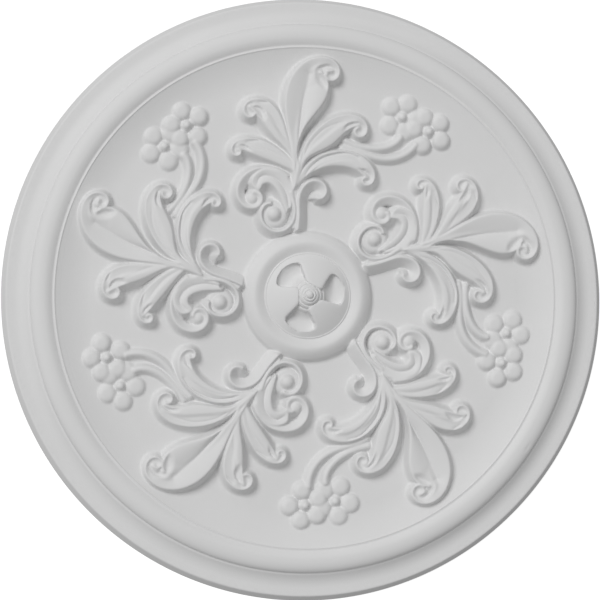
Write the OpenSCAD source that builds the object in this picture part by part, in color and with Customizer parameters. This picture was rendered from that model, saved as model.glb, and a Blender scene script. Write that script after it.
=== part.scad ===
// Ceiling rose: one round moulded casting, ornamented side up, flat back at z = 0.
// The origin is the centre of the back face, +Z points out of the ceiling, away from the back.
// Lengths are in millimetres and angles in degrees, measured anticlockwise from +X.

/* [Overall] */
// Diameter over the outer edge
overall_d = 600; // [360:1:900]
// Thickness of the plain field from the back face
field_t = 13; // [8:0.5:20]
// Diameter of the flat field, where the cove of the rim starts
field_d = 424; // [300:1:640]

/* [Rim mouldings] */
// Height of the flat outer fillet above the back
rim_edge_h = 9; // [6:0.5:16]
// Inset of the drafted outer side, from the back edge to the fillet
rim_draft = 5; // [2:0.5:10]
// Width of the flat outer fillet
rim_fillet_w = 6; // [3:0.5:12]
// Width of the outer cove
outer_cove_w = 14.5; // [8:0.5:24]
// Rise of the outer cove
outer_cove_h = 6; // [3:0.5:12]
// Width of the round bead inside the outer cove
bead_w = 23; // [12:0.5:36]
// Rise of the bead's crest above the top of the outer cove
bead_h = 9.5; // [4:0.5:16]
// Height of the thin inner arris above the back
arris_h = 20; // [14:0.5:30]

/* [Centre boss] */
// Outer diameter of the smooth ring round the boss
ring_d = 128; // [90:1:180]
// Inner diameter of the ring, at its sharp inner edge
ring_bore_d = 83; // [60:1:120]
// Height of the ring's crest above the back
ring_h = 27; // [18:0.5:40]
// Height of the ring's inner edge above the back
ring_lip_h = 23; // [16:0.5:36]
// Height of the bowl's floor inside the boss, above the back
bowl_h = 17; // [10:0.5:24]
// Height of the turned spindle's button, the highest point of the rose
button_h = 42; // [30:0.5:60]
// Number of smooth lobes over the bowl
lobe_count = 3; // [2:1:6]
// Direction of the first lobe
lobe_angle = 73; // [0:1:119]
// Radius of each lobe's rounded inner tip from the centre
lobe_tip_r = 11; // [6:0.5:20]
// Height of the lobes' crowns above the back
lobe_h = 35; // [24:0.5:50]

/* [Sprays] */
// Number of leaf sprays
spray_count = 5; // [3:1:8]
// Height of the tallest leaf rims above the field
relief_h = 15; // [8:0.5:24]
// Height of the leaf rims at their rolled tips above the field
tip_relief_h = 12; // [6:0.5:20]
// Depth of the hollow between the two rims of a leaf
dish_depth = 7; // [2:0.5:12]
// Width of the sloping wall outside each rim
wall_w = 5; // [3:0.5:9]
// Depth that the relief is sunk into the field
sink = 1.5; // [0.5:0.5:4]

/* [Flowers] */
// Distance of each flower's centre from the middle of the rose, first and second flower
flower_r = [203.7, 205.2];
// Direction of each flower from the middle of the rose, measured as the top spray is drawn
flower_angle = [61.9, 53.4];
// Turn of each flower about its own centre
flower_turn = [64, 37];
// Number of petals
petal_count = 5; // [4:1:8]
// Radius of a petal where it meets the field
petal_r = 9; // [5:0.5:14]
// Distance from the flower's centre to a petal's centre
petal_place_r = 15; // [8:0.5:24]
// Rise of a petal above the field
petal_h = 6; // [3:0.5:10]
// Rise of the bead in the middle of a flower above the field
flower_bead_h = 8; // [4:0.5:12]
// Radius of that bead
flower_bead_r = 5; // [3:0.5:8]

/* [Hidden] */
cast_white = [0.93, 0.92, 0.90];
overall_r = overall_d / 2;
field_r = field_d / 2;
ring_r = ring_d / 2;
ring_bore_r = ring_bore_d / 2;
fillet_r = overall_r - rim_draft;
cove_outer_r = fillet_r - rim_fillet_w;
cove_inner_r = cove_outer_r - outer_cove_w;
cove_top_h = rim_edge_h + outer_cove_h;
bead_outer_r = cove_inner_r - 1;
bead_inner_r = bead_outer_r - bead_w;
bead_top_h = cove_top_h + bead_h;
arris_r = bead_inner_r - 1.5;
relief_floor = field_t - sink;
// Where the openings between the lobes are widest, where they end, and the rounding of a lobe's tip
lobe_mid_r = ring_bore_r * 0.7;
lobe_end_r = ring_bore_r * 0.87;
lobe_tip_round = 3.5;
// Radius of the button on the spindle, and the closing turn of a moulding's hollow
button_r = 5.2;
cove_turn = 72;
// Steps of the turned spindle
spindle_steps = 3;
// Step between the feet of two pieces of a spray, so that no two lie in one plane
floor_step = 0.05;
// Flats round the rim, the ring with its lobes, the spindle, a rolled tip and the ball
rim_flats = 48;
ring_flats = 30;
spindle_flats = 16;
roll_flats = 8;
knob_flats = 8;
// Length of a step along the foliage
step_len = 18;
// A line of the drawing below is:
// [start x, start y, heading, length, steady turn, closing turn, power of the closing turn, sway]
// It starts at a place in the top spray and turns left where the turns are positive.
// Each leaf has an outer line, the crest of the rim that rolls up at the tip, and an inner line.
centre_leaf = [
    [-13.7, 124, 89, 186, -46, -420, 7.3, 23.4],
    [-8.8, 128, 112, 105.4, -260, 295, 2.1, 10]
];
upper_leaf = [
    [-14, 138, 116, 106, 24, 306, 5.2, -16.5],
    [-14, 130, 98, 72.6, 84, -42, 2.2, 14.4]
];
lower_leaf = [
    [-12.2, 127.4, 126, 95, 77, 327, 6.5, 0],
    [-11, 121, 147, 64, 48, -45, 2, 0]
];
right_leaf = [
    [-8, 135, 75, 117, -104, -328, 5.6, 0],
    [-5.8, 128, 76.5, 71.3, -99, 30, 2.2, -25]
];
low_right_leaf = [
    [-6.1, 121.4, 59, 117, -150, -296, 8.6, 0],
    [-6.6, 113.4, 51, 71.8, -82, -15, 2, -3.6]
];
big_scroll = [
    [-20.3, 118.6, 144, 115, 207, 216, 5, -6.3],
    [-21.5, 114.3, 125, 70.9, 183, 110, 8.3, 2.9]
];
// Single lines: the crests of the narrow pieces of a spray
small_scroll = [-20.9, 84.8, 102.6, 71, 1, 231, 2.5, -10];
base_band = [-17, 101, -68, 90, -202, -95, 7.9, 19.4];
hook_ribbon = [-8.7, 66, 78, 86.5, 49, -307, 2.6, 7.4];
upper_stem = [38, 155, -27, 60.4, 50, 39, 4.8, 0];
lower_stem = [35.5, 148, -2, 80, -138, 195, 1.6, -5];
ball_place = [-33.5, 80.5];
ball_r = 10;
// Depth of the hollow in a rolled tip
roll_dip = 3;

// Heading of a line at t, which runs from 0 at its start to 1 at its end.
function heading(l, t) =
    l[2] + l[4] * t + l[5] * pow(t, l[6]) + l[7] * sin(360 * t);
// Unit vector along an angle, and the vector a quarter turn to the left of it.
function along(a) = [cos(a), sin(a)];
function left_of(a) = [-sin(a), cos(a)];
// The point of a line at t, added up from short straight steps.
function walk_to(l, t, steps = 40, i = 0, p = undef) =
    let (q = is_undef(p) ? [l[0], l[1]] : p)
    i == steps ? q
    : walk_to(l, t, steps, i + 1, q + along(heading(l, t * (i + 0.5) / steps)) * l[3] * t / steps);
// Smooth rise from 0 to 1 between a and b.
function ease(a, b, x) = let (u = min(1, max(0, (x - a) / (b - a)))) u * u * (3 - 2 * u);

// ---------------------------------------------------------------- swept pieces
// A closed skin over rows of points: every row is a loop, and the first and last rows are capped.
module skin(rows) {
    k = len(rows[0]);
    last = (len(rows) - 1) * k;
    sides = [
        for (i = [0:len(rows) - 2])
            for (j = [0:k - 1])
                let (a = i * k + j, b = i * k + (j + 1) % k, c = a + k, d = b + k)
                    each [[a, c, b], [b, c, d]]
    ];
    hub = floor(k / 2);
    start_cap = [for (j = [1:k - 2]) [hub, (hub + j) % k, (hub + j + 1) % k]];
    end_cap = [for (j = [1:k - 2]) [last + hub, last + (hub + j + 1) % k, last + (hub + j) % k]];
    polyhedron(points = [for (r = rows) each r], faces = concat(sides, start_cap, end_cap));
}

// A row reads anticlockwise or clockwise with the way its piece turns, so one is turned round.
function wound(row, flip) = flip ? [for (i = [len(row) - 1:-1:0]) row[i]] : row;
function lift(p, z) = [p[0], p[1], z];

// A leaf or a scroll: two raised rims with a hollow between them, a sloping wall outside each,
// and a tip that is rolled up round its eye.
// lines: its outer and inner line; pair: the share of the outer line that faces the inner one;
// reach: the share of the inner line that the blade follows; order: its depth rank.
module leaf(lines, pair, order, reach = 1) {
    n = ceil(lines[0][3] * pair / step_len);
    side = lines[0][5] < 0 ? 1 : -1;
    floor_z = relief_floor - order * floor_step;
    rows = [
        for (i = [0:n])
            let (
                u = i / n,
                t = u * pair,
                o = walk_to(lines[0], t),
                v = u * reach,
                q = walk_to(lines[1], v),
                out_o = left_of(heading(lines[0], t)) * side,
                out_q = -left_of(heading(lines[1], v)) * side,
                top = rim_top(t),
                hollow = dish_depth * ease(0, 0.5, u),
                wall_q = wall_w * (1 - 0.6 * ease(0.7, 1, u))
            )
            wound([
                lift(o + out_o * wall_w, floor_z),
                lift(o, top),
                lift((o + q) / 2, top - hollow),
                lift(q, top - 0.5),
                lift(q + out_q * wall_q, floor_z)
            ], side < 0)
    ];
    skin(rows);
    roll(lines, order);
}

// Height of a rim at share t of its line: it drops evenly towards the rolled tip.
function rim_top(t) = field_t + relief_h + (tip_relief_h - relief_h) * t;

// A narrow piece along one line, crest_w wide on top, with a sloping wall on both sides.
// drop: how far it stays below the leaves' rims.
module strand(line, crest_w, order, drop, wall = wall_w) {
    n = ceil(line[3] / step_len);
    floor_z = relief_floor - order * floor_step;
    half = crest_w / 2;
    skin([
        for (i = [0:n])
            let (
                t = i / n,
                p = walk_to(line, t),
                side = left_of(heading(line, t)),
                top = rim_top(t) - drop
            )
            [
                lift(p + side * (half + wall), floor_z),
                lift(p + side * half, top),
                lift(p - side * half, top),
                lift(p - side * (half + wall), floor_z)
            ]
    ]);
}

// The rolled tip of a leaf: a round boss, hollowed to its eye, as wide as the outer line sweeps.
module roll(lines, order) {
    eye = walk_to(lines[1], 1);
    crest_r = norm(walk_to(lines[0], 0.85) - eye);
    foot_r = crest_r + wall_w;
    low = sink + order * floor_step;
    translate([eye[0], eye[1], field_t])
        rotate_extrude($fn = roll_flats)
            polygon([[0, -low], [foot_r, -low], [crest_r, tip_relief_h], [0, tip_relief_h - roll_dip]]);
}

// The ball in the base scroll: the top of a ball of radius r that stands h above the field.
module knob(r, h) {
    translate([0, 0, field_t + h - r])
        sphere(r, $fn = knob_flats);
}

// ---------------------------------------------------------------- parts of the casting
// Points of a quarter of an ellipse about c, from its right end to its top: half axes a and b.
function quarter(c, a, b, n) = [for (i = [0:n]) c + [a * cos(90 * i / n), b * sin(90 * i / n)]];
// Points of a hollow that starts level at p and steepens towards q.
function hollow_curve(p, q, n) =
    [for (i = [0:n])
        p + [(q[0] - p[0]) * sin(cove_turn * i / n) / sin(cove_turn),
             (q[1] - p[1]) * (1 - cos(cove_turn * i / n)) / (1 - cos(cove_turn))]];
function backwards(l) = [for (i = [len(l) - 1:-1:0]) l[i]];

// The disc with its rim: drafted side, fillet, outer cove, round bead, arris, inner cove, flat field.
module disc() {
    bead_mid_r = bead_outer_r - bead_w * 0.5;
    rotate_extrude($fn = rim_flats)
        polygon(concat(
            [[0, 0], [overall_r, 0], [overall_r, rim_edge_h / 6], [fillet_r, rim_edge_h]],
            hollow_curve([cove_outer_r, rim_edge_h], [cove_inner_r, cove_top_h], 3),
            quarter([bead_mid_r, cove_top_h - 1], bead_outer_r - bead_mid_r, bead_h + 1, 4),
            hollow_curve([bead_mid_r - 1, bead_top_h], [bead_inner_r, arris_h - 1], 3),
            [[arris_r, arris_h]],
            backwards(hollow_curve([field_r, field_t], [arris_r - 1, arris_h - 1], 4)),
            [[0, field_t]]
        ));
}

// The smooth ring round the boss, with the bowl's floor inside it.
module ring() {
    ring_mid_r = (ring_r + ring_bore_r) / 2;
    bowl_r = ring_bore_r - 1;
    rotate_extrude($fn = ring_flats)
        polygon(concat(
            [[0, relief_floor], [ring_r, relief_floor]],
            quarter([ring_mid_r, field_t], ring_r - ring_mid_r, ring_h - field_t, 4),
            hollow_curve([ring_mid_r - 1, ring_h], [ring_bore_r, ring_lip_h], 3),
            [[bowl_r, ring_lip_h - 2], [bowl_r * 0.62, bowl_h], [0, bowl_h]]
        ));
}

// The stepped spindle in the middle of the bowl, with its round button.
module spindle() {
    foot_r = ring_bore_r * 0.5;
    step_w = (foot_r - button_r) / spindle_steps;
    step_h = (button_h - button_r - bowl_h) / spindle_steps;
    rotate_extrude($fn = spindle_flats)
        polygon(concat(
            [[0, relief_floor], [foot_r, relief_floor], [foot_r, bowl_h]],
            [
                for (i = [0:spindle_steps - 1])
                    each [
                        [foot_r - step_w * (i + 0.45), bowl_h + step_h * (i + 1)],
                        [foot_r - step_w * (i + 0.9), bowl_h + step_h * (i + 1)]
                    ]
            ],
            quarter([0, button_h - button_r], button_r, button_r, 3)
        ));
}

// Half of the angle that an opening between two lobes takes up at radius r from the centre.
// It is the lobes' whole share inside their tips, narrows round each tip and closes near the ring.
function opening_half(r) =
    let (
        share = 180 / lobe_count,
        flare = share * (0.35 + 0.12 * ease(lobe_tip_r, lobe_mid_r, r)),
        round_tip = sqrt(1 - pow(1 - min(1, max(0, r - lobe_tip_r) / lobe_tip_round), 2)),
        round_end = sqrt(max(0, 1 - pow(max(0, r - lobe_mid_r) / (lobe_end_r - lobe_mid_r), 2)))
    )
    (share + (flare - share) * round_tip) * round_end;

// The smooth lobes: one dome over the bowl, with an opening between each pair of lobes.
module lobes() {
    steps = 6;
    outer_r = ring_bore_r - 0.5;
    radii = [for (i = [0:steps]) lobe_tip_r + (lobe_end_r - lobe_tip_r) * sin(90 * i / steps)];
    outline = concat(
        [[0, 0]],
        [for (r = radii) along(-opening_half(r)) * r],
        [for (i = [steps - 1:-1:0]) along(opening_half(radii[i])) * radii[i]]
    );
    crown_steps = 3;
    crown = [
        for (i = [0:crown_steps])
            [outer_r * cos(90 * i / crown_steps),
             ring_lip_h - 0.5 + (lobe_h - ring_lip_h + 0.5) * sin(90 * i / crown_steps)]
    ];
    difference() {
        rotate_extrude($fn = ring_flats)
            polygon(concat([[0, bowl_h - sink], [outer_r, bowl_h - sink]], crown));
        for (i = [0:lobe_count - 1])
            rotate([0, 0, lobe_angle + (i + 0.5) * 360 / lobe_count])
                translate([0, 0, bowl_h - 2 * sink])
                    linear_extrude(lobe_h)
                        polygon(outline);
    }
}

// Outline radius of a flower at angle a: petal_count circles set round its centre.
function petal_edge(a) =
    let (
        pitch = 360 / petal_count,
        off = a - pitch * round(a / pitch),
        reach = petal_place_r * cos(off)
    )
    reach + sqrt(max(0, petal_r * petal_r - petal_place_r * petal_place_r * sin(off) * sin(off)));

// One flower: low round petals about a bead, as one skin of rings from the foot to the bead.
module flower(place_r, angle, turn, order) {
    n = 3 * petal_count;
    low = relief_floor - order * floor_step;
    function ring_points(share, r, z_tip, z_gap) = [
        for (i = [0:n - 1])
            let (a = 360 * i / n, on_tip = (1 + cos(a * petal_count)) / 2)
            lift(along(a) * (r + petal_edge(a) * share), z_gap + (z_tip - z_gap) * on_tip)
    ];
    rotate([0, 0, angle])
        translate([place_r, 0, 0])
            rotate([0, 0, turn - angle])
                skin([
                    ring_points(1, 0, low, low),
                    ring_points(0.8, 0, field_t + petal_h, field_t + petal_h * 0.6),
                    ring_points(0, flower_bead_r * 0.6, field_t + flower_bead_h, field_t + flower_bead_h)
                ]);
}

// One spray, as it stands at the top of the rose: leaves, scrolls, stems and two flowers.
module spray() {
    leaf(big_scroll, 0.6, 1, 0.88);
    leaf(lower_leaf, 0.78, 2);
    leaf(upper_leaf, 0.7, 3);
    leaf(centre_leaf, 0.66, 4, 0.95);
    leaf(right_leaf, 0.7, 5);
    leaf(low_right_leaf, 0.72, 6);
    strand(small_scroll, 4, 7, 3);
    strand(base_band, 4, 8, 3);
    strand(hook_ribbon, 4, 9, 3);
    strand(upper_stem, 3, 10, 6, wall_w / 2);
    strand(lower_stem, 3, 11, 6, wall_w / 2);
    translate([ball_place[0], ball_place[1], 0])
        knob(ball_r, relief_h - 3);
    for (i = [0:1])
        flower(flower_r[i], flower_angle[i], flower_turn[i], 12 + i);
}

// The whole casting is one piece, merged into one faceted skin at its own size.
module ceiling_rose() {
    color(cast_white) {
        resize([0, 0, 0]) {
            disc();
            ring();
            spindle();
            lobes();
            for (i = [0:spray_count - 1])
                rotate([0, 0, i * 360 / spray_count])
                    spray();
        }
    }
}

ceiling_rose();
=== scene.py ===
import math

import bpy
import numpy as np
from mathutils import Matrix


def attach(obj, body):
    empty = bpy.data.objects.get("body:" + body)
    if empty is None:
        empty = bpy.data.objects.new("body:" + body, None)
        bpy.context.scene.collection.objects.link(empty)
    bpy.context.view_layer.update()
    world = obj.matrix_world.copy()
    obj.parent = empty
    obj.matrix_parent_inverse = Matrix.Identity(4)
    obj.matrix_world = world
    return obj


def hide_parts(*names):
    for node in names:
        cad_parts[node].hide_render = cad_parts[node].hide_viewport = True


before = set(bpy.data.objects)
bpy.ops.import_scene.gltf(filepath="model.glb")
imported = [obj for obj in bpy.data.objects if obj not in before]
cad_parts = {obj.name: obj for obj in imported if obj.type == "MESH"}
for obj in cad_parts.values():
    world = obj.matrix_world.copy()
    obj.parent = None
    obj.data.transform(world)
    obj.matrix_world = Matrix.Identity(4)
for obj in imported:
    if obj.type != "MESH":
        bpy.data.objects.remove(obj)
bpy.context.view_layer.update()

MM = 0.001
SPRAYS = 5
SECTOR = 360.0 / SPRAYS
OUTER_R = 300.0
ARRIS_R = 247.8          # crest of the thin arris, where the rim piece meets the sprays' pieces
ARRIS_Z = 20.5
RING_CREST_R = 52.3      # crest of the smooth ring, where the boss piece meets them
RING_CREST_Z = 25.5
FIELD_Z = 13.0
CREST_Z = 28.0           # leaf rims at the root of a spray
TIP_FALL = 3.0           # how much lower they are a hundred millimetres away
ROOT = (-11.0, 122.0)    # where the leaves of the top spray spring from
FOOT = (-14.0, 106.0)    # where their thin stalks run together
NEVER = 9.0              # a share of a line that no place reaches

# Lines are drawn in the top spray. A line is either the places that it runs through, or [start x,
# start y, heading, length, steady turn, closing turn, its power, sway], turning left where its turns
# are positive.
# Each leaf has an outer and an inner line, the places of its main vein and of a finer one, the depth
# of the valley along the main vein, how plump the wider side is, the share of the outer line where
# the tip has rolled, the lift of its rims, the width of the wall outside them, and the rolled tip's
# eye as (x, y, radius, drop below the rims).
LEAVES = {
    "low_right_leaf": dict(
        outer=[-6.1, 121.4, 59, 119, -150, -296, 8.6, 0],
        inner=[-6.6, 113.4, 51, 71.8, -82.4, -15.5, 2, -3.6],
        vein=[(-3, 119), (3.8, 128), (16, 137), (37, 142), (51, 138)],
        fine_vein=[(2, 120), (12, 129), (26, 134), (40, 135), (50, 131)],
        depth=2.8, plump=1.6, rolled=0.8, lift=-1.2, wall_w=6.5, eye=(57.5, 119.5, 4.5, 2.5)),
    "right_leaf": dict(
        outer=[-8, 135, 75.2, 122.9, -104.2, -327.8, 5.6, -0.7],
        inner=[-5.8, 128, 76.5, 71.3, -98.7, 30.3, 2.2, -25],
        vein=[(-7, 133), (-3, 150), (8, 167), (25, 178), (42, 181)],
        fine_vein=[(-3, 140), (3, 152), (17, 166), (36, 174)],
        depth=2.6, plump=1.6, rolled=0.78, lift=-0.6, wall_w=6.0, eye=(50, 168.5, 5.0, 1.0)),
    "small_scroll": dict(
        outer=[(-17.5, 87), (-15.5, 97), (-16, 108), (-23, 117.5), (-33, 123), (-43, 124.5),
               (-51.5, 119.5), (-55.5, 112.5), (-53, 106.5), (-49, 104)],
        inner=[(-21, 83), (-24, 91), (-28, 100.5), (-33, 107.5), (-39, 111.5), (-45, 110),
               (-48, 105)],
        vein=[(-19, 88), (-21, 100), (-28, 112), (-38, 118), (-47, 117), (-51, 109)], fine_vein=(),
        depth=2.6, plump=0.6, rolled=NEVER, lift=-1.8, wall_w=8.0, eye=(-49.5, 106, 2.5, 4.0),
        stalk=False),
    "lower_leaf": dict(
        outer=[-12.2, 127.4, 126, 97.1, 77, 327, 6.5, 0],
        inner=[-11.1, 121, 147, 64, 47.6, -45.2, 2, 0.2],
        vein=[(-12, 125), (-16, 136), (-30, 148), (-48, 153), (-60, 152)],
        fine_vein=[(-14, 125), (-28, 138), (-45, 145), (-60, 148)],
        depth=2.6, plump=1.6, rolled=0.8, lift=-1.0, wall_w=6.5, eye=(-69, 146, 3.5, 3.5)),
    "upper_leaf": dict(
        outer=[-14, 138, 115.9, 109.1, 24.3, 306.4, 5.2, -16.5],
        inner=[-14.1, 129.8, 98.3, 72.6, 84.4, -41.7, 2.2, 14.4],
        vein=[(-13, 135), (-16, 157), (-24, 178), (-36, 190), (-48, 192)],
        fine_vein=[(-15, 140), (-22, 155), (-33, 168), (-46, 182)],
        depth=3.0, plump=1.8, rolled=0.78, lift=-0.4, wall_w=6.5, eye=(-57, 184, 3.5, 3.5)),
    "centre_leaf": dict(
        outer=[-13.7, 122, 89, 191.2, -46.2, -427.8, 7.3, 23.4],
        inner=[-8.8, 128.3, 112.3, 105.4, -259.7, 295.1, 2.1, 9.8],
        vein=[(-13, 112), (-11, 140), (-8, 165), (-5, 190), (2, 221)], fine_vein=(),
        depth=4.6, plump=1.0, rolled=0.84, lift=0.0, wall_w=5.0, eye=(20, 224, 5.0, 1.0)),
}
# Each narrow ribbon has a line, the half width of its crest, the (width, hollowness) of the walls on
# its left and on its right, the lift of its crest, and the straight lead before its line.
RIBBONS = {
    "trunk": dict(line=[-12, 120, -92, 52, 0, 0, 1, 0], half=1.2,
                  left=(4.5, 1.2), right=(4.5, 1.2), lift=-3.5),
    "big_scroll": dict(line=[-20.3, 118.6, 143.7, 117.1, 206.9, 216.3, 5, -6.3], half=0.4,
                       left=(17.0, 1.1), right=(6.5, 1.7), lift=-1.4),
    "hook_ribbon": dict(line=[-10.5, 66, 80, 86.5, 45, -307, 2.6, 7.4], half=0.3,
                        left=(5.0, 1.3), right=(9.5, 0.85), lift=-0.8, lead=3),
    "base_band": dict(line=[-17.1, 101.3, -67.7, 90, -201.7, -95.4, 7.9, 19.4], half=0.6,
                      left=(7.0, 1.4), right=(4.5, 1.5), lift=-1.5),
}
STEMS = [[38.1, 154.9, -27, 60.4, 50, 39, 4.8, 0], [35.4, 148.1, -2.1, 80.2, -138.4, 194.7, 1.6, -5.1]]
STEM_R = 5.4
STEM_H = 7.0
BALL = (-33.5, 80.5, 10.6, 14.0)         # x, y, radius, height above the field
BALL_SEAT = (5.0, 8.5)                   # how far the hollow round it runs past it, and its height
BULB = (-55.0, 95.5, 9.8, 12.0)          # the bulb in the big scroll, given as the ball is
FLOWERS = [((95.9, 179.7), (135, 66, 214, 278, -7), 0.0),      # centre, directions of petals, lift
           ((122.7, 165.4), (106, 38, -34, -116, 170), 1.4)]
PETAL_R, PETAL_PLACE, PETAL_H = 10.0, 15.0, 4.6
BEAD_R, BEAD_H = 5.0, 6.8
BEAD_SEAT = (1.6, -1.5)                  # how far its seat runs past it, and its lift over the petals


# ---------------------------------------------------------------- small helpers
def ease(a, b, x):
    """Smooth rise from 0 at a to 1 at b."""
    u = np.clip((x - a) / (b - a), 0, 1)
    return u * u * (3 - 2 * u)


def smooth_max(a, b, k):
    """The larger of two heights, with a fillet about k wide where they cross."""
    gap = np.clip(k - np.abs(a - b), 0, None)
    return np.maximum(a, b) + gap * gap / (4 * k)


def smooth_min(a, b, k):
    """The smaller of two heights, with a rounding about k wide where they cross."""
    return -smooth_max(-a, -b, k)


def line_points(line, step=0.9):
    """Points of a line. At the share t of its length, its heading is the first heading, plus the
    steady turn times t, the closing turn times a power of t, and the sway times the sine of a full
    turn times t, and the steps are added up. A line given by places runs through them."""
    if isinstance(line[0], tuple):
        return through(line)
    x, y, heading, length, steady, closing, power, sway = line
    n = int(length / step)
    t = (np.arange(n) + 0.5) / n
    a = np.radians(heading + steady * t + closing * t ** power + sway * np.sin(2 * np.pi * t))
    step_xy = np.stack([np.cos(a), np.sin(a)], 1) * (length / n)
    return np.concatenate([[[x, y]], [x, y] + np.cumsum(step_xy, 0)])


def through(places, n=12):
    """A smooth line through a few places: between two of them it keeps the headings that the places
    before and after set, in cubic steps."""
    p = np.array(places, float)
    p = np.concatenate([2 * p[:1] - p[1:2], p, 2 * p[-1:] - p[-2:-1]])
    u = np.linspace(0, 1, n, endpoint=False)[:, None]
    spans = [((2 * b) + (c - a) * u + (2 * a - 5 * b + 4 * c - d) * u ** 2
              + (3 * b - a - 3 * c + d) * u ** 3) / 2 for a, b, c, d in zip(p, p[1:], p[2:], p[3:])]
    return np.concatenate(spans + [p[-2:-1]])


def near_line(x, y, pts):
    """Distance from each place to a line, the share of the line there, and +1 left or -1 right."""
    a, ab = pts[:-1], np.diff(pts, axis=0)
    px, py = x[:, None] - a[:, 0], y[:, None] - a[:, 1]
    u = np.clip((px * ab[:, 0] + py * ab[:, 1]) / (ab ** 2).sum(1), 0, 1)
    d2 = (px - u * ab[:, 0]) ** 2 + (py - u * ab[:, 1]) ** 2
    j = d2.argmin(1)
    k = np.arange(len(x))
    side = np.sign(ab[j, 0] * py[k, j] - ab[j, 1] * px[k, j])
    return np.sqrt(d2[k, j]), (j + u[k, j]) / len(a), side


def inside_loop(x, y, loop):
    """Whether each place lies inside a closed loop, counted by how often the loop winds round it."""
    a, b = loop, np.roll(loop, -1, axis=0)
    cross = (b[:, 0] - a[:, 0]) * (y[:, None] - a[:, 1]) - (b[:, 1] - a[:, 1]) * (x[:, None] - a[:, 0])
    up = (a[:, 1] <= y[:, None]) & (b[:, 1] > y[:, None]) & (cross > 0)
    down = (a[:, 1] > y[:, None]) & (b[:, 1] <= y[:, None]) & (cross < 0)
    return up.sum(1) != down.sum(1)


def window(x, y, pts, reach):
    """Which places are within reach of a line's box."""
    lo, hi = pts.min(0) - reach, pts.max(0) + reach
    return (x > lo[0]) & (x < hi[0]) & (y > lo[1]) & (y < hi[1])


def crest(x, y):
    """Height of the leaf rims: it falls evenly away from the root of the spray."""
    away = np.hypot(x - ROOT[0], y - ROOT[1]) / 100
    return CREST_Z - TIP_FALL * np.clip(away, 0, 1)


def wall(d, width, hollow):
    """Fall of a wall at distance d from its crest, as a share of its height: a crest worn round,
    then steep, then a hollow foot. Past its width it runs on down, so that it cuts what it meets."""
    worn_d = np.sqrt(d * d + CREST_WEAR ** 2) - CREST_WEAR
    u = worn_d / width
    return 1 - np.clip(1 - u, 0, 1) ** hollow + 0.12 * np.clip(worn_d - width + 1.5, 0, None)


# ---------------------------------------------------------------- one spray
CREST_WEAR = 0.9         # how round the crests are worn
WALL_HOLLOW = 1.7        # how hollow the foot of a leaf's wall is
REACH = 3.5              # how far past a wall a piece still shapes what is below it
FOOT_FILLET = 2.2        # hollow fillet where a wall meets what is below
DIP = 2.0                # how far what is below a piece sinks beside it
LEAF_FULL_W = 18.0       # width at which a leaf has its whole depth
VALLEY_POWER = 1.4       # over 1 makes a leaf's sides steepest beside the vein
CREASE_W = 0.8           # half width of a vein
CREASE_DEPTH = 0.9       # depth of the main vein
FINE_CREASE = 0.7        # depth of the finer vein
ROLL_RUN = 0.14          # share of the outer line along which a tip starts to roll
ROLL_DEPTH = 2.6         # depth of the hollow in a rolled tip
ROLL_W = 2.2             # width of the ridge beside it
ROLL_NEAR, ROLL_FAR = 6, 13    # fully rolled this near the outer line, and not at all past that
EYE_FALL = 6.0           # fall of an eye from its middle to its radius


def dipped(z, x, y, top, d):
    """What is below a piece, sunk a little beside it, except round the root where all grow out."""
    free = ease(10, 26, np.hypot(x - ROOT[0], y - ROOT[1]))
    return smooth_min(z, top - DIP * free + 0.8 * d + 3 * (1 - free), 1.5)


def add_leaf(x, y, z, outer, inner, vein, fine_vein, depth, plump, rolled, lift, wall_w, eye,
             stalk=True):
    """Lay one leaf over what is there: it falls from its rims to a valley along its main vein.

    The fall is the depth times a power of d / (d + v), with d the distance from the nearer rim and v
    from the vein, and it is less where the leaf is narrow. The side inside the vein swells, and the
    veins are bell-shaped creases. At the tip the outer line stands up as a ridge round its eye.
    Outside the two lines a wall falls from the rims, and what is below dips under it."""
    line_o, line_i = line_points(outer), line_points(inner)
    if stalk:
        line_o, line_i = np.concatenate([[FOOT], line_o]), np.concatenate([[FOOT], line_i])
    loop = np.concatenate([line_o, line_i[::-1]])
    m = window(x, y, loop, wall_w + REACH)
    xm, ym = x[m], y[m]
    top = crest(xm, ym) + lift
    d_o, t_o, _ = near_line(xm, ym, line_o)
    d_i, _, _ = near_line(xm, ym, line_i)
    d_v, t_v, _ = near_line(xm, ym, through(vein))
    d = np.minimum(d_o, d_i)
    soft_d = ((d_o + 0.01) ** -4.0 + (d_i + 0.01) ** -4.0) ** -0.25
    full = ease(0, LEAF_FULL_W, d_o + d_i)
    fall = depth * full * (soft_d / (soft_d + d_v + 1e-6)) ** VALLEY_POWER
    wide = d_v / (d_v + d_i + 1e-6)
    fall -= plump * full * 4 * wide * (1 - wide) * ease(-3, 5, d_o - d_i)
    creased = (1 - ease(0.75, 0.98, t_v)) * ease(3, 8, d_o + d_i)
    fall += CREASE_DEPTH * creased * np.exp(-(d_v / CREASE_W) ** 2)
    if fine_vein:
        d_f, _, _ = near_line(xm, ym, through(fine_vein))
        fall += FINE_CREASE * creased * np.exp(-(d_f / CREASE_W) ** 2)
    tip = ease(rolled - ROLL_RUN, rolled, t_o) * ease(ROLL_FAR, ROLL_NEAR, d_o)
    roll = (ROLL_DEPTH + 0.25 * depth) * (1 - np.exp(-(d / ROLL_W) ** 1.6))
    eye_x, eye_y, eye_r, drop = eye
    z_eye = top - drop - EYE_FALL * (np.hypot(xm - eye_x, ym - eye_y) / eye_r) ** 2.5
    z_in = smooth_max(top - fall + tip * (fall - roll), z_eye, 1.0)
    z_out = top - (top - FIELD_Z + 1) * wall(d, wall_w, WALL_HOLLOW)
    below = dipped(z[m], xm, ym, top, d)
    body = inside_loop(xm, ym, loop)
    z[m] = np.where(body, z_in, smooth_max(below, np.maximum(z_out, z_eye), FOOT_FILLET))
    return z


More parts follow.
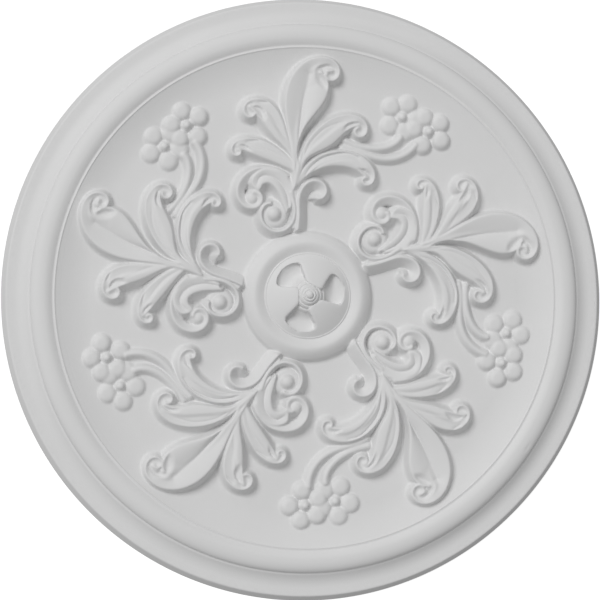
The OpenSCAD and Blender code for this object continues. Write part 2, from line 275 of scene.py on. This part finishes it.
def add_ribbon(x, y, z, line, half, left, right, lift, lead=0):
    """Lay a narrow ribbon over what is there: a worn crest along a line, a wall on each side.

    It starts with a straight lead, which hides its end under the ring."""
    pts = line_points(line)
    if lead:
        away = (pts[0] - pts[1]) / np.hypot(*(pts[0] - pts[1]))
        pts = np.concatenate([[pts[0] + away * lead], pts])
    m = window(x, y, pts, half + max(left[0], right[0]) + REACH)
    xm, ym = x[m], y[m]
    d, _, side = near_line(xm, ym, pts)
    past = np.clip(d - half, 0, None)
    top = crest(xm, ym) + lift
    fall = np.where(side > 0, wall(past, *left), wall(past, *right))
    below = dipped(z[m], xm, ym, top, past)
    z[m] = smooth_max(below, top - (top - FIELD_Z + 1) * fall, FOOT_FILLET)
    return z


def add_dome(x, y, z, cx, cy, r, h, base, power=3.0, k=0.8):
    """Raise a round dome of radius r that stands h over a base height."""
    u = np.hypot(x - cx, y - cy) / r
    m = u < 1.5
    z[m] = smooth_max(z[m], base + h * (1 - u[m] ** power), k)
    return z


def add_spray(x, y, z):
    """Lay every piece of the top spray over a height, from the lowest piece to the highest."""
    for line in STEMS:
        pts = line_points(line)
        m = window(x, y, pts, STEM_R + 3)
        d, _, _ = near_line(x[m], y[m], pts)
        tube = FIELD_Z + STEM_H * (1 - np.clip(d / STEM_R, 0, 1.6) ** 2.2)
        z[m] = smooth_max(z[m], tube, FOOT_FILLET)
    for name in ("trunk", "big_scroll"):
        z = add_ribbon(x, y, z, **RIBBONS[name])
    z = add_leaf(x, y, z, **LEAVES["small_scroll"])
    z = add_dome(x, y, z, *BULB, FIELD_Z, 2.6, 1.2)
    for name in ("low_right_leaf", "right_leaf", "lower_leaf", "upper_leaf", "centre_leaf"):
        z = add_leaf(x, y, z, **LEAVES[name])
    for name in ("hook_ribbon", "base_band"):
        z = add_ribbon(x, y, z, **RIBBONS[name])
    ball_x, ball_y, ball_r, ball_h = BALL
    seat_past, seat_h = BALL_SEAT
    z = add_dome(x, y, z, ball_x, ball_y, ball_r + seat_past, seat_h, FIELD_Z, 8.0, 1.5)
    z = add_dome(x, y, z, ball_x, ball_y, ball_r, ball_h, FIELD_Z, 2.6, 1.2)
    bead_past, bead_lift = BEAD_SEAT
    for (fx, fy), turns, lift in FLOWERS:
        for turn in turns:
            a = math.radians(turn)
            z = add_dome(x, y, z, fx + PETAL_PLACE * math.cos(a), fy + PETAL_PLACE * math.sin(a),
                         PETAL_R, PETAL_H + lift, FIELD_Z, 4.2, 0.8)
        z = add_dome(x, y, z, fx, fy, BEAD_R + bead_past, PETAL_H + bead_lift + lift, FIELD_Z, 6, 0.4)
        z = add_dome(x, y, z, fx, fy, BEAD_R, BEAD_H + lift, FIELD_Z, 3.5, 0.3)
    return z


# ---------------------------------------------------------------- turned sections
def curve(p, q, power, n=16):
    """Points from p to q: the height moves with the share of the way, to a power."""
    u = np.linspace(0, 1, n)
    return np.stack([p[0] + (q[0] - p[0]) * u, p[1] + (q[1] - p[1]) * u ** power], 1)


def swell(p, q, n=20):
    """A quarter of an ellipse from p, where it stands upright, to its crest q, where it is level."""
    a = np.linspace(0, np.pi / 2, n)
    return np.stack([q[0] + (p[0] - q[0]) * np.cos(a), p[1] + (q[1] - p[1]) * np.sin(a)], 1)


def softened(path, step, radius):
    """A path at even steps, with its corners worn round by a bell-shaped average."""
    d = np.r_[0, np.cumsum(np.hypot(*np.diff(path, axis=0).T))]
    fine = np.arange(0, d[-1], 0.05)
    p = np.stack([np.interp(fine, d, path[:, i]) for i in (0, 1)], 1)
    reach = int(3 * radius / 0.05)
    bell = np.exp(-0.5 * (np.arange(-reach, reach + 1) * 0.05 / radius) ** 2)
    bell /= bell.sum()
    padded = np.concatenate([2 * p[0] - p[reach:0:-1], p, 2 * p[-1] - p[-2:-reach - 2:-1]])
    p = np.stack([np.convolve(padded[:, i], bell, "valid") for i in (0, 1)], 1)
    keep = np.unique(np.linspace(0, len(p) - 1, int(d[-1] / step)).astype(int))
    return p[keep]


# Drafted outer side and flat fillet, cove, quirk, both sides of the bead, quirk, arris.
RIM_SECTION = np.concatenate([
    [[OUTER_R, 0.6], [295.2, 8.7], [294.2, 9.0], [289.5, 9.0]],
    curve((288, 9.05), (273.8, 14.8), 2.2),
    [[273.0, 15.0], [272.3, 15.1]],
    swell((271.6, 15.8), (259.5, 23.0)),
    curve((258.5, 23.0), (250.8, 20.4), 1.9),
    [[250.2, 20.0], [249.4, 19.9], [248.7, 20.3], [ARRIS_R, ARRIS_Z]],
])
# Outer side of the ring, its foot, the flat field, the wide cove, arris.
FIELD_SECTION = np.concatenate([
    curve((RING_CREST_R, RING_CREST_Z), (63.0, 18.2), 1.7),
    [[64.2, 15.2], [65.0, 13.8]],
    curve((68.5, FIELD_Z), (65.4, 13.5), 1.8)[::-1],
    [[70, FIELD_Z], [212, FIELD_Z]],
    curve((213, FIELD_Z), (246.8, 19.6), 1.9),
    [[247.2, 20.1], [ARRIS_R, ARRIS_Z]],
])
# Round button, four steps down, each with a quirk under it, then the floor of the bowl.
SPINDLE_SECTION = np.concatenate([
    swell((3.4, 39.8), (0, 42.0))[::-1],
    [[3.8, 38.8], [4.5, 38.7], [4.9, 39.3], [6.0, 38.9], [6.6, 36.8], [7.3, 36.6], [7.8, 37.1],
     [9.4, 35.6], [10.0, 33.4], [10.8, 33.3], [11.3, 33.8], [13.0, 31.8], [13.6, 29.7], [14.4, 29.6],
     [14.9, 29.9], [16.8, 27.4], [17.4, 25.6]],
    curve((25.5, 21.0), (18.0, 25.2), 2.0)[::-1],
    curve((26.5, 21.0), (36.0, 24.6), 2.0),
    [[60.0, 24.6]],
])
RING_FOOT_R, RING_FOOT_Z = 42.6, 22.4    # foot of the ring's inner side
LIP_R, LIP_Z, LIP_W = 41.7, 23.6, 0.8    # sharp edge inside it: crest and half width
BOWL_R = 41.2                            # the lobes end here
LOBE_Z, LOBE_FALL = 35.6, 12.6           # height of the lobes' dome in the middle, fall to its edge
LOBE_ROLL = 1.5                          # fall of a lobe's edge where it rolls down to an opening
HUB_R = 10.2                             # no lobe comes nearer to the middle
OPENING_END_R = 36.2                     # the openings between the lobes end here
# Direction of an opening's middle and its half width in degrees, at these radii.
OPENING_MIDDLE = ([10, 14, 21, 28, 36], [121, 124, 130.5, 133, 133.5])
OPENING_HALF = ([0, HUB_R, 10.8, 11.8, 14, 21, 28, 31, 33.5, 35.2, OPENING_END_R],
                [60, 60, 40, 28, 22.5, 27, 29, 28.5, 25, 16, 0])


def boss_height(r, a):
    """Height of the boss at radius r and direction a: the ring rises as a power of a sine, the lip
    is a ridge, and the lobes are a dome that gives way to the spindle's section in the openings."""
    rise = np.clip((r - RING_FOOT_R) / (RING_CREST_R - RING_FOOT_R), 0, 1)
    ring = RING_FOOT_Z + (RING_CREST_Z - RING_FOOT_Z) * np.sin(np.pi / 2 * rise) ** 1.3
    lip = LIP_Z - np.abs(r - LIP_R) / LIP_W
    dome = LOBE_Z - LOBE_FALL * np.clip(r / BOWL_R, 0, 1) ** 2.2
    spindle = np.interp(r, SPINDLE_SECTION[:, 0], SPINDLE_SECTION[:, 1])
    off = (a - np.interp(r, *OPENING_MIDDLE) + 60) % 120 - 60
    edge = (np.abs(off) - np.interp(r, *OPENING_HALF)) * np.radians(1) * np.maximum(r, 4)
    edge = np.where(r < HUB_R, -3, edge)
    edge = np.where(r > OPENING_END_R, np.maximum(edge, r - OPENING_END_R + 0.2), edge)
    lobe = dome - LOBE_ROLL * np.exp(-np.clip(edge, 0, None) / 1.3)
    inner = spindle + (lobe - spindle) * ease(-0.4, 0.6, edge)
    z = smooth_max(np.where(r > LIP_R, ring, 0), lip, 0.6)
    return smooth_max(z, np.where(r < BOWL_R, inner, 0), 0.4)


# ---------------------------------------------------------------- meshes
PLATE_Z = 1.5            # thickness of the back under the pieces that carry the ornament
INSIDE_Z = 2.0           # where those pieces close, inside the casting
RIM_STEP, RIM_WEAR = 0.85, 0.28        # step along the rim's section, and wear of its corners
RIM_SEGMENTS, BOSS_SEGMENTS = 432, 400
BOSS_RINGS = 134
SPRAY_COLUMNS = 262
# Rows of a spray's grid: from one radius to another, how many.
SPRAY_ROWS = ((RING_CREST_R, 70, 38), (70, 242, 238), (242, ARRIS_R, 18))
# Radii and directions of the cut between two sprays' pieces, which keeps to the plain field.
SEAM = ([52, 95, 105, 125, 145, 180, 250], [62, 62, 60, 55, 50, 44, 44])
RING_COVERS = (61, 66)                 # the ring covers the sprays inside the first radius, not past it
SOFT_PLACE, SOFT_R = (-11.0, 114.0), 11.0      # round here the stalks run softly into each other
SOFT_PASSES, SOFT_SHARE = 14, 0.8
# A nick in the outer fillet and a pit in the bead: radius, direction, size, depth.
DENTS = ((294.3, 216.3, 2.2, 1.1), (265.7, -34.1, 1.3, 0.9))


def make_mesh(name, verts, quads, flat_quads, caps=()):
    """An object from vertices in millimetres: smooth four-sided faces, then flat ones and caps."""
    mesh = bpy.data.meshes.new(name)
    loops = np.concatenate([quads.ravel(), flat_quads.ravel()] + list(caps)).astype(np.int32)
    fours = np.full(len(quads) + len(flat_quads), 4)
    totals = np.concatenate([fours, [len(c) for c in caps]]).astype(np.int32)
    starts = np.r_[0, np.cumsum(totals)[:-1]].astype(np.int32)
    mesh.vertices.add(len(verts))
    mesh.vertices.foreach_set("co", (verts * MM).astype(np.float32).ravel())
    mesh.loops.add(len(loops))
    mesh.loops.foreach_set("vertex_index", loops)
    mesh.polygons.add(len(totals))
    mesh.polygons.foreach_set("loop_start", starts)
    mesh.polygons.foreach_set("loop_total", totals)
    smooth = np.ones(len(totals), bool)
    smooth[len(quads):] = False
    mesh.update(calc_edges=True)
    mesh.polygons.foreach_set("use_smooth", smooth)
    mesh.validate()
    obj = bpy.data.objects.new(name, mesh)
    bpy.context.scene.collection.objects.link(obj)
    return obj


def grid_quads(rows, cols, wrap):
    """Four-sided faces of a grid of rows and columns, closed round its columns where wrap is set."""
    i, j = np.meshgrid(np.arange(rows - 1), np.arange(cols if wrap else cols - 1), indexing="ij")
    k = (j + 1) % cols
    quads = np.stack([i * cols + j, (i + 1) * cols + j, (i + 1) * cols + k, i * cols + k], -1)
    return quads.reshape(-1, 4)


def worn(z):
    """The height grid with its finest edges worn and painted over: each place takes a share of its
    neighbours' heights, except along the cuts."""
    out = z.copy()
    out[1:-1] = (z[:-2] + 2 * z[1:-1] + z[2:]) / 4
    z = out.copy()
    out[:, 1:-1] = (z[:, :-2] + 2 * z[:, 1:-1] + z[:, 2:]) / 4
    return out


def spray_piece(index):
    """One fifth of the field: a height over a grid of radii and directions between two cuts, which
    is the turned section with the sprays laid over it, closed inside by leaning walls."""
    r = np.unique(np.concatenate([np.linspace(*rows) for rows in SPRAY_ROWS]))
    share = np.linspace(0, 1, SPRAY_COLUMNS)
    rr = np.repeat(r[:, None], len(share), 1)
    a = np.radians(np.interp(rr, *SEAM) + SECTOR * share[None, :])
    x, y = (rr * np.cos(a)).ravel(), (rr * np.sin(a)).ravel()
    turned = np.interp(rr.ravel(), FIELD_SECTION[:, 0], FIELD_SECTION[:, 1])
    z = turned.copy()
    for turn in (0, SECTOR, -SECTOR):
        c, s = math.cos(math.radians(turn)), math.sin(math.radians(turn))
        z = add_spray(x * c - y * s, x * s + y * c, z)
    z += (1 - ease(*RING_COVERS, rr.ravel())) * (turned - z)
    z = worn(z.reshape(rr.shape))
    soft = z
    for _ in range(SOFT_PASSES):
        soft = worn(soft)
    away = np.hypot(x - SOFT_PLACE[0], y - SOFT_PLACE[1]).reshape(rr.shape)
    z = (z + SOFT_SHARE * np.exp(-(away / SOFT_R) ** 2) * (soft - z)).ravel()
    turn = math.radians(SECTOR * index)
    c, s = math.cos(turn), math.sin(turn)
    top = np.stack([x * c - y * s, x * s + y * c, z], 1)
    rows, cols = rr.shape
    ids = np.arange(rows * cols).reshape(rows, cols)
    rim = np.concatenate([ids[0, :-1], ids[:-1, -1], ids[-1, :0:-1], ids[:0:-1, 0]])
    middle = top[rim].mean(0)
    low = top[rim] + 0.01 * (middle - top[rim])
    low[:, 2] = INSIDE_Z
    high_ids = rows * cols + np.arange(len(rim))
    low_ids = high_ids + len(rim)
    walls = np.stack([high_ids, np.roll(high_ids, -1), np.roll(low_ids, -1), low_ids], 1)
    return make_mesh(f"spray_{index + 1}", np.concatenate([top, top[rim], low]),
                     grid_quads(rows, cols, False), walls, [low_ids])


def rim_piece():
    """The rim with the flat back of the whole rose, as one tray: its section turned round the
    middle, less the bell-shaped dents."""
    path = softened(RIM_SECTION, RIM_STEP, RIM_WEAR)
    path[0] = [OUTER_R, 0.0]
    path[-1] = RIM_SECTION[-1]
    seen = len(path)
    path = np.concatenate([path, path[-1:], [[ARRIS_R + 1, PLATE_Z], [1.0, PLATE_Z]]])
    segments = RIM_SEGMENTS
    a = np.arange(segments) * 2 * np.pi / segments
    rr, aa = np.meshgrid(path[:, 0], a, indexing="ij")
    zz = np.repeat(path[:, 1][:, None], segments, 1)
    for r0, a0, size, depth in DENTS:
        gap = (np.degrees(aa) - a0 + 180) % 360 - 180
        d = np.hypot(rr - r0, np.radians(gap) * r0)
        zz = zz - depth * np.exp(-(d / size) ** 2) * (zz > 1)
    verts = np.stack([rr * np.cos(aa), rr * np.sin(aa), zz], -1).reshape(-1, 3)
    quads = grid_quads(len(path), segments, True)[:, ::-1]
    crown = np.arange(segments) + (len(path) - 1) * segments
    back = np.arange(segments)[::-1] + len(verts)
    verts = np.concatenate([verts, verts[:segments]])
    return make_mesh("rim", verts, quads[:(seen - 1) * segments], quads[seen * segments:],
                     [crown, back])


def boss_piece():
    """The ring, lobes and spindle in the middle: the boss's height over a grid of radii and
    directions, closed inside by a wall."""
    r = np.linspace(RING_CREST_R, 0.4, BOSS_RINGS)
    segments = BOSS_SEGMENTS
    a = np.arange(segments) * 2 * np.pi / segments
    rr, aa = np.meshgrid(r, a, indexing="ij")
    zz = boss_height(rr, np.degrees(aa))
    top = np.stack([rr * np.cos(aa), rr * np.sin(aa), zz], -1).reshape(-1, 3)
    low = top[:segments] * [0.98, 0.98, 0] + [0, 0, INSIDE_Z]
    high_ids = len(top) + np.arange(segments)
    low_ids = high_ids + segments
    walls = np.stack([low_ids, np.roll(low_ids, -1), np.roll(high_ids, -1), high_ids], 1)
    crown = np.arange(segments) + (len(r) - 1) * segments
    quads = grid_quads(len(r), segments, True)
    return make_mesh("boss", np.concatenate([top, top[:segments], low]), quads[:, ::-1], walls,
                     [crown, low_ids[::-1]])


# ---------------------------------------------------------------- finish
PRIMER_DARK, PRIMER_LIGHT = (0.735, 0.735, 0.735, 1), (0.775, 0.775, 0.775, 1)
PRIMER_ROUGH = (0.55, 0.7)             # range of roughness
CLOUDS, SHEEN, GRAIN = 14, 60, 700     # bumps a metre of the tone, the roughness and the grain
GRAIN_H, GRAIN_SHARE = 0.0003, 0.25    # height of the grain in metres, and how strongly it shows
PAPER = (0.4, 0.4, 0.4, 1)
PAPER_GLOW = 0.8                       # glow of the floor, for the camera alone
FLOOR_HALF, FLOOR_DROP = 12.0, 0.0002  # half width in metres, and its drop below the flat back
KEY_POWER, KEY_SPREAD = 1.56, 26       # the key's strength, and its angle across in degrees
KEY_HEIGHT, KEY_BEARING = 52, 138      # its direction in degrees
SKY_FILL, SKY_SEEN = 0.375, 1.0        # strength of the sky on the rose, and to the camera
CAMERA_LEFT, CAMERA_BELOW, CAMERA_AWAY = 6.5, 3.6, 2.0     # in degrees, and in metres
CAMERA_AIM = (-0.0052, -0.0028, 0.0)
SEEN_WIDTH = 0.5975                    # width in metres that fills the view
SENSOR_W = 36


def primed_casting():
    """Matt white primer: nearly even, a little uneven in tone, with a very fine sprayed grain."""
    mat = bpy.data.materials.new("primed_casting")
    mat.use_nodes = True
    nodes, links = mat.node_tree.nodes, mat.node_tree.links
    shader = next(n for n in nodes if n.type == "BSDF_PRINCIPLED")
    shader.inputs["Specular IOR Level"].default_value = 0.35
    place = nodes.new("ShaderNodeTexCoord")

    def noise(scale, detail=3):
        """A noise over Object coordinates, scale in bumps a metre."""
        n = nodes.new("ShaderNodeTexNoise")
        n.inputs["Scale"].default_value = scale
        n.inputs["Detail"].default_value = detail
        links.new(place.outputs["Object"], n.inputs["Vector"])
        return n.outputs["Fac"]

    def spread(value, low, high):
        """The value moved into a range."""
        n = nodes.new("ShaderNodeMapRange")
        n.inputs["To Min"].default_value = low
        n.inputs["To Max"].default_value = high
        links.new(value, n.inputs["Value"])
        return n.outputs["Result"]

    tone = nodes.new("ShaderNodeMix")
    tone.data_type = "RGBA"
    tone.inputs["A"].default_value = PRIMER_DARK
    tone.inputs["B"].default_value = PRIMER_LIGHT
    links.new(noise(CLOUDS), tone.inputs["Factor"])
    links.new(tone.outputs["Result"], shader.inputs["Base Color"])
    links.new(spread(noise(SHEEN), *PRIMER_ROUGH), shader.inputs["Roughness"])
    bump = nodes.new("ShaderNodeBump")
    bump.inputs["Strength"].default_value = GRAIN_SHARE
    bump.inputs["Distance"].default_value = GRAIN_H
    links.new(noise(GRAIN), bump.inputs["Height"])
    links.new(bump.outputs["Normal"], shader.inputs["Normal"])
    return mat


def white_stage():
    """A wide white floor under the rose. The camera sees it and the sky as white paper; it keeps
    the rose's shadow, and lights nothing more than a plain floor does."""
    mesh = bpy.data.meshes.new("floor")
    corners = [(-1, -1), (1, -1), (1, 1), (-1, 1)]
    mesh.from_pydata([(FLOOR_HALF * i, FLOOR_HALF * j, 0) for i, j in corners], [], [(0, 1, 2, 3)])
    floor = bpy.data.objects.new("floor", mesh)
    floor.location.z = -FLOOR_DROP
    bpy.context.scene.collection.objects.link(floor)
    mat = bpy.data.materials.new("white_paper")
    mat.use_nodes = True
    nodes, links = mat.node_tree.nodes, mat.node_tree.links
    shader = next(n for n in nodes if n.type == "BSDF_PRINCIPLED")
    shader.inputs["Base Color"].default_value = PAPER
    shader.inputs["Roughness"].default_value = 1.0
    shader.inputs["Specular IOR Level"].default_value = 0.0
    shader.inputs["Emission Color"].default_value = (1, 1, 1, 1)
    path = nodes.new("ShaderNodeLightPath")
    glow = nodes.new("ShaderNodeMath")
    glow.operation = "MULTIPLY"
    glow.inputs[1].default_value = PAPER_GLOW
    links.new(path.outputs["Is Camera Ray"], glow.inputs[0])
    links.new(glow.outputs[0], shader.inputs["Emission Strength"])
    mesh.materials.append(mat)


def lights():
    """A soft key from the upper left and an even fill from the sky."""
    sun = bpy.data.lights.new("key", "SUN")
    sun.energy = KEY_POWER
    sun.angle = math.radians(KEY_SPREAD)
    key = bpy.data.objects.new("key", sun)
    bpy.context.scene.collection.objects.link(key)
    height, bearing = math.radians(KEY_HEIGHT), math.radians(KEY_BEARING)
    key.rotation_euler = (math.pi / 2 - height, 0, bearing + math.pi / 2)
    world = bpy.data.worlds.new("sky")
    bpy.context.scene.world = world
    world.use_nodes = True
    nodes, links = world.node_tree.nodes, world.node_tree.links
    sky = next(n for n in nodes if n.type == "BACKGROUND")
    sky.inputs["Color"].default_value = (1, 1, 1, 1)
    path = nodes.new("ShaderNodeLightPath")
    level = nodes.new("ShaderNodeMapRange")
    level.inputs["To Min"].default_value = SKY_FILL
    level.inputs["To Max"].default_value = SKY_SEEN
    links.new(path.outputs["Is Camera Ray"], level.inputs["Value"])
    links.new(level.outputs["Result"], sky.inputs["Strength"])


def camera():
    """Straight above the rose but a little to its left and below, with a long lens."""
    cam = bpy.data.cameras.new("camera")
    obj = bpy.data.objects.new("camera", cam)
    bpy.context.scene.collection.objects.link(obj)
    aim = np.array(CAMERA_AIM)
    left, below = math.sin(math.radians(CAMERA_LEFT)), math.sin(math.radians(CAMERA_BELOW))
    eye = aim + CAMERA_AWAY * np.array([-left, -below, math.sqrt(1 - left ** 2 - below ** 2)])
    back = (eye - aim) / CAMERA_AWAY
    right = np.cross([0, 1, 0], back)
    right /= np.linalg.norm(right)
    up = np.cross(back, right)
    frame_axes = np.eye(4)
    frame_axes[:3, 0], frame_axes[:3, 1], frame_axes[:3, 2], frame_axes[:3, 3] = right, up, back, eye
    obj.matrix_world = Matrix(frame_axes.tolist())
    cam.sensor_width = SENSOR_W
    cam.lens = SENSOR_W * CAMERA_AWAY / SEEN_WIDTH
    cam.clip_end = 100
    bpy.context.scene.camera = obj


finish = primed_casting()
for piece in [rim_piece(), boss_piece()] + [spray_piece(i) for i in range(SPRAYS)]:
    piece.data.materials.append(finish)
    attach(piece, "root")
    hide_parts("ceiling_rose")
white_stage()
lights()
camera()
bpy.context.scene.view_settings.view_transform = "Standard"
